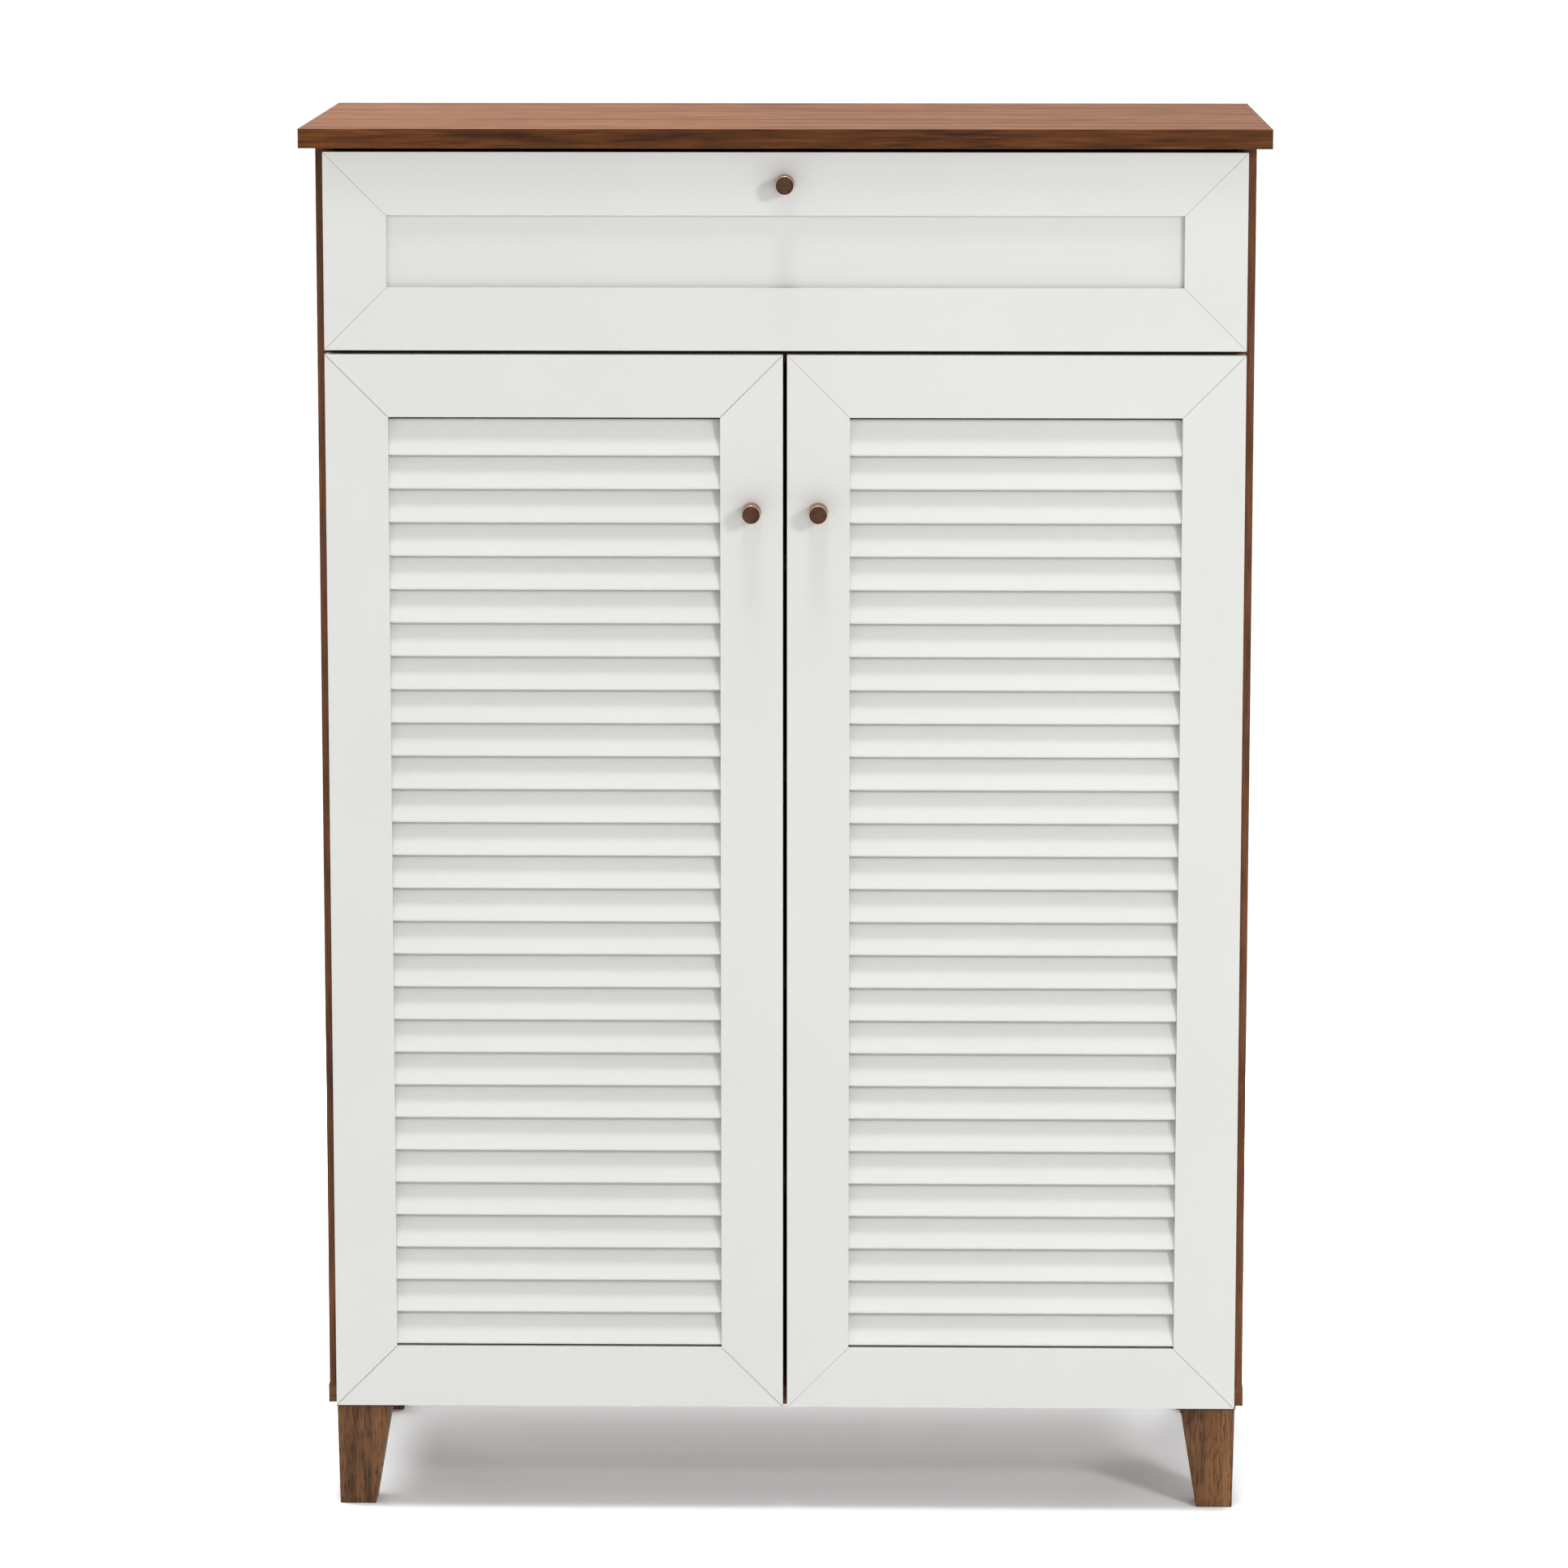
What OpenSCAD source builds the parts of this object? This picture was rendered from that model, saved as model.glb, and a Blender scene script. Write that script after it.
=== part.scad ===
// Free-standing shoe cabinet: a wooden board carcass on four tapered legs, one shallow drawer
// above two louvred doors on concealed cup hinges, and four adjustable shelves inside.
// The origin is on the floor, at the middle of the footprint. +X is to the right, +Z is up,
// and the fronts face -Y. All sizes are in millimetres.

/* [Overall] */
// Height from the floor to the top of the top board
cabinet_h = 1176; // [1100:1:1250]
// Width of the top board
top_w = 800; // [760:1:900]
// Depth of the top board, front edge to back edge
top_d = 390; // [380:1:420]
// Overhang of the top board past each side panel
top_overhang = 11.5; // [5:0.5:20]

/* [Boards] */
// Thickness of the top, sides, bottom, divider and shelves
board_t = 16; // [15:1:18]
// Thickness of the back panel
back_t = 3; // [3:0.5:4]

/* [Fronts] */
// Thickness of the drawer front and the doors
front_t = 18; // [18:1:20]
// Width of the mitred frame members of the drawer front and doors
frame_w = 52; // [48:1:56]
// Gap round and between the fronts
front_gap = 3.5; // [3:0.5:4]
// Width of side panel edge left showing beside the fronts
side_reveal = 7.5; // [6:0.5:8]
// Height of the drawer front
drawer_front_h = 163.5; // [160:0.5:170]
// Setback of the doors and drawer front behind the front edge of the top board
top_lip = 10; // [6:1:14]

/* [Louvres] */
// Number of slats in a door
slat_count = 28; // [24:1:30]
// Width of a slat, measured along its slope
slat_w = 31; // [28:0.5:32]
// Thickness of a slat
slat_t = 5.5; // [4:0.5:6]
// Slope of a slat from upright
slat_tilt = 19; // [15:1:22]

/* [Knobs] */
// Diameter of a knob
knob_d = 16; // [12:1:20]
// Length of a knob
knob_len = 22; // [18:1:26]

/* [Legs] */
// Height of a leg below its mounting plate
leg_h = 86; // [60:1:120]
// Width of a leg at the top
leg_top_w = 46; // [42:1:48]
// Width of a leg at the floor
leg_foot_w = 30.5; // [28:0.5:36]
// Lean of a leg's two outer faces, inwards from top to floor
leg_lean = 1.5; // [0:0.5:4]
// Thickness of a leg mounting plate
leg_plate_t = 6; // [5:1:8]

/* [Hidden] */
$fn = 48;

// Levels, upwards from the floor
bottom_z = leg_h + leg_plate_t;
floor_z = bottom_z + board_t;
top_z = cabinet_h - board_t;
door_lift = 2.5;
doors_z = bottom_z + door_lift;
drawer_front_z = top_z - front_gap - drawer_front_h;
door_h = drawer_front_z - front_gap - doors_z;
drawer_front_lap = 12;
divider_z = drawer_front_z - drawer_front_lap;
drawer_floor_z = divider_z + board_t;

// Depths, from the knob faces back to the back edge
bumper_t = 2;
total_d = top_d + knob_len - top_lip;
back_y = total_d / 2;
top_front_y = back_y - top_d;
face_y = top_front_y + top_lip;
door_back_y = face_y + front_t;
carcass_y = door_back_y + bumper_t;
mid_y = (carcass_y + back_y) / 2;

// Widths
side_x = top_w / 2 - top_overhang;
inner_x = side_x - board_t;
front_x = side_x - side_reveal;
door_w = front_x - front_gap / 2;
bottom_lip = 0.8;

// Back panel in its grooves
groove_d = 6;
back_inset = 12;
back_panel_y = back_y - back_inset - back_t;

// Shelves
shelf_count = 4;
bay_h = (divider_z - floor_z - shelf_count * board_t) / (shelf_count + 1);
shelf_setback = 25;
shelf_y = carcass_y + shelf_setback;
shelf_side_gap = 1;
shelf_back_gap = 2;
shelf_d = back_panel_y - shelf_back_gap - shelf_y;
pin_r = 2.5;
pin_len = 16;
pin_in = 8;
hole_pitch = 32;
row_setback = 37;
row_back = 60;
row_ys = [carcass_y + row_setback, back_y - row_back];

// Carcass fittings
cam_r = 7.5;
cam_t = 12.5;
cam_reach = 34;
bolt_r = 3.5;
bolt_in = 11;
cam_setback = 55;
cam_back = 45;
cam_ys = [carcass_y + cam_setback, back_y - cam_back];
dowel_r = 4;
dowel_len = 30;
dowel_in = 11;
dowel_after_cam = 40;
dowel_ys = [cam_ys[0] + dowel_after_cam, cam_ys[1] - dowel_after_cam];
confirmat_len = 50;
confirmat_head_r = 5;
confirmat_head_t = 3;
confirmat_pitch = 110;
confirmat_ys = [mid_y - confirmat_pitch, mid_y, mid_y + confirmat_pitch];

// Legs. A mounting plate laps 1 mm past the leg's outer faces and 4 mm past its inner ones.
leg_inset_x = 5.5;
leg_inset_y = 9;
leg_x = side_x - leg_inset_x;
plate_lap = 1;
plate_w = leg_top_w + plate_lap + 4;
plate_corner_r = 4;
plate_screw_in = 7;
plate_screw_r = 2;
plate_screw_head_r = 4;
plate_screw_len = 16;
leg_bolt_r = 4;
leg_bolt_depth = 40;
leg_bolt_in_board = 8;

// Both ways across or along the cabinet
SIDES = [-1, 1];

// Countersunk wood screws, and the soft bumpers
screw_r = 2;
screw_head_r = 3.5;
screw_head_t = 2.5;
bumper_r = 3.5;
bumper_disc_t = bumper_t - 0.2;

// Concealed hinges. Positions are [inwards from the outer edge of the door, back from its back face].
HINGE_ARM_PIVOT = [32.8, -1.4];
HINGE_CUP_PIVOT = [11.8, -3.4];
hinge_end = 100;
hinge_zs = [doors_z + hinge_end, doors_z + door_h - hinge_end];
hinge_pin_r = 1.5;
hinge_play = 0.05;
knuckle_r = 2.4;
link_t = 1.8;
link_w = 8;
arm_w = 13;
arm_slot_w = 8.6;
cup_r = 17.5;
cup_wall = 1.3;
cup_depth = 12.3;
cup_in = 21.5;
flange_h = 52;
flange_w = 23;
hinge_panel_x = board_t - side_reveal;
hinge_seat_x = hinge_panel_x + 5;
hinge_foot_t = 2.5;
plate_y = row_setback + bumper_t;
euro_r = 3;
euro_len = 12;

// Drawer box
box_side_gap = 13;
box_x = inner_x - box_side_gap;
box_t = 12;
box_len = 300;
box_lift = 16;
box_z = drawer_floor_z + box_lift;
box_h = 110;
base_t = 3.5;
base_groove = 4;
base_lift = 8;
base_z = box_z + base_lift;
box_back_y = door_back_y + box_len;

// Roller slides. The rail is the drawer member's upper flange, which runs on the cabinet roller.
steel_t = 1.2;
rail_lift = 22.8;
rail_z = box_z + rail_lift;
rail_w = 9.3;
channel_w = 10.7;
roller_r = 8.7;
roller_gap = 0.3;
roller_w = 6.5;
axle_r = 2;
axle_play = 0.05;
rivet_r = axle_r + 1.2;
channel_h = 21.2;
slide_setback = 3;
cabinet_roller_y = carcass_y + 13;
cabinet_roller_z = rail_z - roller_gap - roller_r;
drawer_roller_y = box_back_y - 14;
drawer_roller_z = box_z + steel_t + roller_gap + roller_r;
slide_len = 300;
slide_screw_ys = [carcass_y + 49, carcass_y + 167, carcass_y + 287];
slide_screw_z = box_z + 17;
slide_screw_len = 10;

// Knobs
knob_screw_r = 2;
knob_chamfer = 0.8;
drawer_knob_z = drawer_front_z + drawer_front_h - frame_w / 2;
door_knob_x = front_gap / 2 + frame_w / 2;
door_knob_drop = 130.5;
door_knob_z = doors_z + door_h - door_knob_drop;
knob_screw_in_knob = 14;

// Drawer front panel
panel_recess = 5;
panel_t = 6;
panel_tongue = 5;

// Louvres
slat_set = 1;
slat_top_gap = 31;
slat_foot_gap = 2.2;
slat_pitch = (door_h - 2 * frame_w - slat_top_gap - slat_foot_gap) / (slat_count - 1);
slat_tenon = 5;
slat_top_z = doors_z + door_h - frame_w - slat_top_gap;

// ---- Shared shapes ----

// A block between two corners
module block(low, high) {
    translate(low) cube(high - low);
}

// A cylinder of length len along X, starting at [x, y, z] and running away from the middle of the cabinet
module out_rod(side, x, y, z, r, len) {
    mirror([side < 0 ? 1 : 0, 0, 0]) translate([x, y, z]) rotate([0, 90, 0]) cylinder(r = r, h = len);
}

// A cylinder along +Y from [x, y, z]
module back_rod(x, y, z, r, len) {
    translate([x, y, z]) rotate([-90, 0, 0]) cylinder(r = r, h = len);
}

// Draws its children on the left as drawn for the right, mirrored when side is -1
module on_side(side) {
    mirror([side < 0 ? 1 : 0, 0, 0]) children();
}

// A flat outline in X and Z, made solid from y to y + t
module upright_plate(y, t) {
    translate([0, y + t, 0]) rotate([90, 0, 0]) linear_extrude(t) children();
}

// A rectangle with round corners, from its lowest corner
module round_rect(w, h, r) {
    translate([r, 0]) square([w - 2 * r, h]);
    translate([0, r]) square([w, h - 2 * r]);
    for (x = [r, w - r], y = [r, h - r]) translate([x, y]) circle(r);
}

// One upright member of a mitred frame, outer edge at x = 0
module mitred_stile(h) {
    polygon([[0, 0], [frame_w, frame_w], [frame_w, h - frame_w], [0, h]]);
}

// The lower rail of a mitred frame of width w
module mitred_rail(w) {
    polygon([[0, 0], [w, 0], [w - frame_w, frame_w], [frame_w, frame_w]]);
}

// ---- Carcass ----

module back_groove() {
    block([-inner_x - groove_d, back_panel_y, floor_z - groove_d],
        [inner_x + groove_d, back_panel_y + back_t, top_z + groove_d]);
}

module cam_bolt_shapes() {
    for (side = SIDES, y = cam_ys) {
        translate([side * (side_x - board_t / 2), y, top_z - cam_reach])
            cylinder(r = bolt_r, h = cam_reach + bolt_in);
        out_rod(side, inner_x - cam_reach, y, divider_z + board_t / 2, bolt_r, cam_reach + bolt_in);
    }
}

module cam_lock_shapes() {
    for (side = SIDES, y = cam_ys) {
        out_rod(side, inner_x, y, top_z - cam_reach, cam_r, cam_t);
        translate([side * (inner_x - cam_reach), y, divider_z]) cylinder(r = cam_r, h = cam_t);
    }
}

module dowel_shapes() {
    for (side = SIDES, y = dowel_ys) {
        for (z = [top_z + dowel_in - dowel_len, floor_z - dowel_in])
            translate([side * (side_x - board_t / 2), y, z]) cylinder(r = dowel_r, h = dowel_len);
        out_rod(side, inner_x + dowel_in - dowel_len, y, divider_z + board_t / 2, dowel_r, dowel_len);
    }
}

module bottom_screw_shapes() {
    for (side = SIDES, y = confirmat_ys) translate([side * (side_x - board_t / 2), y, bottom_z]) {
        cylinder(r = bolt_r, h = confirmat_len);
        cylinder(r = confirmat_head_r, h = confirmat_head_t);
    }
}

// Heights of the pin holes of shelf n, the middle one in use
function pin_z(n) = shelf_z(n) - pin_r;
function shelf_z(n) = floor_z + n * bay_h + (n - 1) * board_t;

module pin_holes(side) {
    for (n = [1 : shelf_count], step = [-1, 0, 1], y = row_ys)
        out_rod(side, inner_x, y, pin_z(n) + step * hole_pitch, pin_r, pin_in);
}

module euro_shapes() {
    for (side = SIDES) {
        for (z = hinge_zs, step = [-1, 1])
            out_rod(side, inner_x - hinge_foot_t, door_back_y + plate_y, z + step * hole_pitch / 2,
                euro_r, euro_len);
        for (y = slide_screw_ys) {
            out_rod(side, inner_x - steel_t, y, drawer_roller_z, euro_r, euro_len);
            out_rod(side, inner_x - 2 * steel_t, y, drawer_roller_z, euro_r + 1, steel_t);
        }
    }
}

module top_board() {
    color("#8a5238") difference() {
        block([-top_w / 2, top_front_y, top_z], [top_w / 2, back_y, cabinet_h]);
        back_groove();
        cam_bolt_shapes();
        dowel_shapes();
    }
}

module side_panel(side) {
    color("#4f3226") difference() {
        on_side(side) block([inner_x, carcass_y, floor_z], [side_x, back_y, top_z]);
        back_groove();
        cam_bolt_shapes();
        cam_lock_shapes();
        dowel_shapes();
        bottom_screw_shapes();
        pin_holes(side);
        euro_shapes();
    }
}

module left_side_panel() { side_panel(-1); }
module right_side_panel() { side_panel(1); }

module bottom_board() {
    half_w = side_x + bottom_lip;
    color("#4f3226") difference() {
        block([-half_w, carcass_y, bottom_z], [half_w, back_y, floor_z]);
        back_groove();
        dowel_shapes();
        bottom_screw_shapes();
        leg_bolt_shapes();
        leg_plate_screw_shapes();
    }
}

module divider_board() {
    color("#4f3226") difference() {
        block([-inner_x, carcass_y, divider_z], [inner_x, back_panel_y - 0.5, divider_z + board_t]);
        cam_bolt_shapes();
        cam_lock_shapes();
        dowel_shapes();
    }
}

module back_panel() {
    edge = groove_d - 0.5;
    color("#6b4a38") block([-inner_x - edge, back_panel_y, floor_z - edge],
        [inner_x + edge, back_panel_y + back_t, top_z + edge]);
}

module shelf(n) {
    half_w = inner_x - shelf_side_gap;
    color("#4f3226") block([-half_w, shelf_y, shelf_z(n)],
        [half_w, shelf_y + shelf_d, shelf_z(n) + board_t]);
}

module shelf_1() { shelf(1); }
module shelf_2() { shelf(2); }
module shelf_3() { shelf(3); }
module shelf_4() { shelf(4); }

module shelf_pins() {
    color("silver") for (side = SIDES, n = [1 : shelf_count], y = row_ys)
        out_rod(side, inner_x + pin_in - pin_len, y, pin_z(n), pin_r, pin_len);
}

module cam_locks() {
    color("#b9b9bd") difference() {
        cam_lock_shapes();
        cam_bolt_shapes();
    }
}

module cam_bolts() { color("#c9b37a") cam_bolt_shapes(); }
module wood_dowels() { color("#c8a06c") dowel_shapes(); }
module bottom_screws() { color("#8c8c90") bottom_screw_shapes(); }

// Soft discs on the front edges of the carcass, which the closed fronts rest against
module door_bumpers() {
    spots = [
        [30, doors_z + door_h - 4],
        [30, bottom_z + board_t / 2],
        [inner_x + board_t / 2 - 3, top_z - 30]
    ];
    color("#d9d9d6") for (side = SIDES, spot = spots)
        back_rod(side * spot[0], carcass_y - bumper_disc_t, spot[1], bumper_r, bumper_disc_t);
}

// ---- Legs ----

// Puts the outer top corner of a leg in place: side is -1 or 1 across, end is -1 in front and 1 behind
module at_leg(side, end) {
    corner_y = end < 0 ? carcass_y + leg_inset_y : back_y - leg_inset_y;
    translate([side * leg_x, corner_y, 0]) mirror([side > 0 ? 1 : 0, 0, 0]) mirror([0, end > 0 ? 1 : 0, 0])
        children();
}

module leg_profile() {
    polygon([[leg_lean, 0], [leg_lean + leg_foot_w, 0], [leg_top_w, leg_h], [0, leg_h]]);
}

module leg(side, end) {
    color("#6b4a38") difference() {
        at_leg(side, end) intersection() {
            translate([0, leg_top_w, 0]) rotate([90, 0, 0]) linear_extrude(leg_top_w) leg_profile();
            rotate([90, 0, 90]) linear_extrude(leg_top_w) leg_profile();
        }
        leg_bolt_shapes();
    }
}

module front_left_leg() { leg(-1, -1); }
module front_right_leg() { leg(1, -1); }
module back_left_leg() { leg(-1, 1); }
module back_right_leg() { leg(1, 1); }

module leg_bolt_shapes() {
    for (side = SIDES, end = SIDES) at_leg(side, end)
        translate([leg_top_w / 2, leg_top_w / 2, leg_h - leg_bolt_depth])
            cylinder(r = leg_bolt_r, h = leg_bolt_depth + leg_plate_t + leg_bolt_in_board);
}

module leg_plate_screw_shapes() {
    near = plate_screw_in - plate_lap;
    far = plate_w - plate_lap - plate_screw_in;
    for (side = SIDES, end = SIDES) at_leg(side, end)
        for (x = [near, far], y = [near, far]) translate([x, y, leg_h]) {
            cylinder(r1 = plate_screw_head_r, r2 = plate_screw_r, h = plate_screw_head_r - plate_screw_r);
            cylinder(r = plate_screw_r, h = plate_screw_len);
        }
}

module leg_plates() {
    color("#1d1b1a") difference() {
        for (side = SIDES, end = SIDES) at_leg(side, end) translate([-plate_lap, -plate_lap, leg_h])
            linear_extrude(leg_plate_t) round_rect(plate_w, plate_w, plate_corner_r);
        leg_bolt_shapes();
        leg_plate_screw_shapes();
    }
}

module leg_bolts() { color("#8c8c90") leg_bolt_shapes(); }
module leg_plate_screws() { color("#8c8c90") leg_plate_screw_shapes(); }

// ---- Drawer slides ----

// Cabinet member: a channel on the side panel, with a roller at its open front end
module cabinet_slide(side) {
    front = carcass_y + slide_setback;
    channel_front = cabinet_roller_y + roller_r + 4;
    tip = inner_x - channel_w;
    color("#d9d9d6") difference() {
        union() {
            on_side(side) {
                block([inner_x - steel_t, front, box_z], [inner_x, front + slide_len, rail_z + 4]);
                block([tip, channel_front, box_z], [inner_x, front + slide_len, box_z + steel_t]);
                block([tip, channel_front, box_z + channel_h - steel_t],
                    [inner_x, front + slide_len, box_z + channel_h]);
            }
            out_rod(side, tip - 0.3, cabinet_roller_y, cabinet_roller_z, axle_r, 10.5);
            out_rod(side, tip - 0.3, cabinet_roller_y, cabinet_roller_z, rivet_r, 0.6);
        }
        euro_shapes();
    }
}

module left_cabinet_slide() { cabinet_slide(-1); }
module right_cabinet_slide() { cabinet_slide(1); }

// Drawer member: an angle under the drawer side, with an outward rail and a roller at its rear end
module drawer_slide(side) {
    web = box_x + steel_t;
    color("#d9d9d6") difference() {
        union() {
            on_side(side) {
                block([box_x - box_t, door_back_y, box_z - steel_t], [web, box_back_y, box_z]);
                block([box_x, door_back_y, box_z - steel_t], [web, box_back_y, rail_z + steel_t]);
                block([box_x, door_back_y, rail_z], [web + rail_w, box_back_y, rail_z + steel_t]);
            }
            out_rod(side, box_x, drawer_roller_y, drawer_roller_z, axle_r, rail_w + 0.5);
            out_rod(side, box_x + rail_w, drawer_roller_y, drawer_roller_z, rivet_r, 0.5);
        }
        drawer_screw_shapes();
    }
}

module left_drawer_slide() { drawer_slide(-1); }
module right_drawer_slide() { drawer_slide(1); }

module roller(side, x, y, z) {
    color("#f2f2ee") difference() {
        out_rod(side, x, y, z, roller_r, roller_w);
        out_rod(side, x - 1, y, z, axle_r + axle_play, roller_w + 2);
    }
}

module cabinet_roller(side) { roller(side, inner_x - 10, cabinet_roller_y, cabinet_roller_z); }
module drawer_roller(side) { roller(side, box_x + steel_t + 0.9, drawer_roller_y, drawer_roller_z); }

module left_cabinet_roller() { cabinet_roller(-1); }
module right_cabinet_roller() { cabinet_roller(1); }
module left_drawer_roller() { drawer_roller(-1); }
module right_drawer_roller() { drawer_roller(1); }

// ---- Drawer ----

module drawer_front_rails() {
    color("#e4e1dd") difference() {
        upright_plate(face_y, front_t) translate([-front_x, drawer_front_z]) {
            mitred_rail(2 * front_x);
            translate([0, drawer_front_h]) mirror([0, 1]) mitred_rail(2 * front_x);
        }
        panel_shape();
        knob_screw_shape(0, drawer_knob_z);
        drawer_screw_shapes();
    }
}

module drawer_front_stiles() {
    color("#e4e1dd") difference() {
        for (side = SIDES) on_side(side) upright_plate(face_y, front_t)
            translate([front_x, drawer_front_z]) mirror([1, 0]) mitred_stile(drawer_front_h);
        panel_shape();
    }
}

// Thin centre panel with its edges in the frame's groove
module panel_shape() {
    edge = frame_w - panel_tongue;
    block([-front_x + edge, face_y + panel_recess, drawer_front_z + edge],
        [front_x - edge, face_y + panel_recess + panel_t, drawer_front_z + drawer_front_h - edge]);
}

module drawer_front_panel() { color("#e4e1dd") panel_shape(); }

module base_shape() {
    block([-box_x + box_t - base_groove, door_back_y + box_t - base_groove, base_z],
        [box_x - box_t + base_groove, box_back_y - box_t + base_groove, base_z + base_t]);
}

module drawer_cross_board(y) {
    color("#6b4a38") difference() {
        block([-box_x + box_t, y, box_z], [box_x - box_t, y + box_t, box_z + box_h]);
        base_shape();
        drawer_screw_shapes();
    }
}

module drawer_inner_front() { drawer_cross_board(door_back_y); }
module drawer_back() { drawer_cross_board(box_back_y - box_t); }

module drawer_sides() {
    color("#6b4a38") difference() {
        for (side = SIDES) on_side(side)
            block([box_x - box_t, door_back_y, box_z], [box_x, box_back_y, box_z + box_h]);
        base_shape();
        drawer_screw_shapes();
    }
}

module drawer_base() { color("#5a3d2e") base_shape(); }

// Corner screws, slide screws and the screws that hold the front frame
module drawer_screw_shapes() {
    corner_ys = [door_back_y + box_t / 2, box_back_y - box_t / 2];
    corner_screw_len = 40;
    front_screw_in = 11;
    for (side = SIDES) {
        for (y = corner_ys, z = [box_z + 35, box_z + box_h - 20]) {
            out_rod(side, box_x - corner_screw_len, y, z, screw_r, corner_screw_len);
            out_rod(side, box_x - screw_head_t, y, z, screw_head_r, screw_head_t);
        }
        for (y = [door_back_y + 40, door_back_y + 150, door_back_y + 250]) {
            out_rod(side, box_x - slide_screw_len, y, slide_screw_z, screw_r, slide_screw_len);
            out_rod(side, box_x, y, slide_screw_z, screw_head_r, steel_t);
        }
        for (x = [90, 290], z = [box_z + 18, box_z + box_h - 9]) {
            back_rod(side * x, door_back_y - front_screw_in, z, screw_r, front_screw_in + box_t);
            back_rod(side * x, door_back_y + box_t - screw_head_t, z, screw_head_r, screw_head_t);
        }
    }
}

module drawer_screws() { color("#8c8c90") drawer_screw_shapes(); }

// ---- Knobs ----

// Bolt through the frame member, from its head at the back into the knob
module knob_screw_shape(x, z) {
    back_rod(x, face_y - knob_screw_in_knob, z, knob_screw_r, knob_screw_in_knob + front_t);
    back_rod(x, door_back_y, z, knob_screw_r * 2, 2.2);
}

module knob(x, z) {
    r = knob_d / 2;
    color("#6e4a3c") difference() {
        translate([x, face_y, z]) rotate([90, 0, 0]) {
            cylinder(r = r, h = knob_len - knob_chamfer);
            translate([0, 0, knob_len - knob_chamfer])
                cylinder(r1 = r, r2 = r - knob_chamfer, h = knob_chamfer);
        }
        knob_screw_shape(x, z);
    }
}

module drawer_knob() { knob(0, drawer_knob_z); }
module left_door_knob() { knob(-door_knob_x, door_knob_z); }
module right_door_knob() { knob(door_knob_x, door_knob_z); }
module drawer_knob_screw() { color("#8c8c90") knob_screw_shape(0, drawer_knob_z); }
module left_door_knob_screw() { color("#8c8c90") knob_screw_shape(-door_knob_x, door_knob_z); }
module right_door_knob_screw() { color("#8c8c90") knob_screw_shape(door_knob_x, door_knob_z); }

// ---- Doors, drawn for the right side and mirrored for the left ----

module slat_shapes() {
    inner = front_gap / 2 + frame_w - slat_tenon;
    outer = front_x - frame_w + slat_tenon;
    for (i = [0 : slat_count - 1]) translate([inner, face_y + slat_set, slat_top_z - i * slat_pitch])
        rotate([-slat_tilt, 0, 0]) cube([outer - inner, slat_t, slat_w]);
}

module hinge_stile(side) {
    color("#e4e1dd") on_side(side) difference() {
        upright_plate(face_y, front_t) translate([front_x, doors_z]) mirror([1, 0]) mitred_stile(door_h);
        slat_shapes();
        for (z = hinge_zs) back_rod(front_x - cup_in, door_back_y - cup_depth, z, cup_r, cup_depth + 1);
    }
}

module lock_stile(side) {
    color("#e4e1dd") on_side(side) difference() {
        upright_plate(face_y, front_t) translate([front_gap / 2, doors_z]) mitred_stile(door_h);
        slat_shapes();
        knob_screw_shape(door_knob_x, door_knob_z);
    }
}

module door_rails(side) {
    color("#e4e1dd") on_side(side) upright_plate(face_y, front_t) translate([front_gap / 2, doors_z]) {
        mitred_rail(door_w);
        translate([0, door_h]) mirror([0, 1]) mitred_rail(door_w);
    }
}

module left_door_hinge_stile() { hinge_stile(-1); }
module left_door_lock_stile() { lock_stile(-1); }
module left_door_rails() { door_rails(-1); }
module left_door_slats() { color("#e4e1dd") on_side(-1) slat_shapes(); }
module right_door_hinge_stile() { hinge_stile(1); }
module right_door_lock_stile() { lock_stile(1); }
module right_door_rails() { door_rails(1); }
module right_door_slats() { color("#e4e1dd") slat_shapes(); }

// ---- Concealed hinges ----

// A hinge's own frame: x inwards from the door's outer edge, y back from its back face, z from the centre
module at_hinge(side, z) {
    on_side(side) translate([front_x, door_back_y, z]) mirror([1, 0, 0]) children();
}

module hinge_pin(p, w) {
    translate([p[0], p[1], -w / 2]) cylinder(r = hinge_pin_r, h = w);
}

// Steel cup in the door, with the two ears and the pin that carry the link
module hinge_cup() {
    ear_w = 1.8;
    ear_z = link_w / 2 + 0.4;
    floor_t = 0.8;
    difference() {
        union() {
            translate([cup_in, -cup_depth, 0]) rotate([-90, 0, 0]) cylinder(r = cup_r, h = cup_depth);
            translate([cup_in - flange_w / 2, 0, -flange_h / 2]) mirror([0, 1, 0]) rotate([90, 0, 0])
                linear_extrude(1) round_rect(flange_w, flange_h, 5);
        }
        translate([cup_in, floor_t - cup_depth, 0]) rotate([-90, 0, 0])
            cylinder(r = cup_r - cup_wall, h = cup_depth + 2);
    }
    for (s = SIDES) translate([HINGE_CUP_PIVOT[0] - 2.5, -cup_depth, s > 0 ? ear_z : -ear_z - ear_w])
        cube([5, cup_depth - 1.2, ear_w]);
    hinge_pin(HINGE_CUP_PIVOT, 2 * ear_z + 2 * ear_w);
}

// Lever between the arm's pin and the cup's pin
module hinge_link() {
    reach = HINGE_ARM_PIVOT - HINGE_CUP_PIVOT;
    len = norm(reach);
    translate([HINGE_CUP_PIVOT[0], HINGE_CUP_PIVOT[1], -link_w / 2])
        rotate([0, 0, atan2(reach[1], reach[0])]) difference() {
            union() {
                for (x = [0, len]) translate([x, 0, 0]) rotate([0, 0, 90])
                    cylinder(r = knuckle_r, h = link_w);
                translate([knuckle_r / 2, -link_t / 2, 0]) cube([len - knuckle_r, link_t, link_w]);
            }
            for (x = [0, len]) translate([x, 0, -1]) rotate([0, 0, 90])
                cylinder(r = hinge_pin_r + hinge_play, h = link_w + 2);
        }
}

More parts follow.
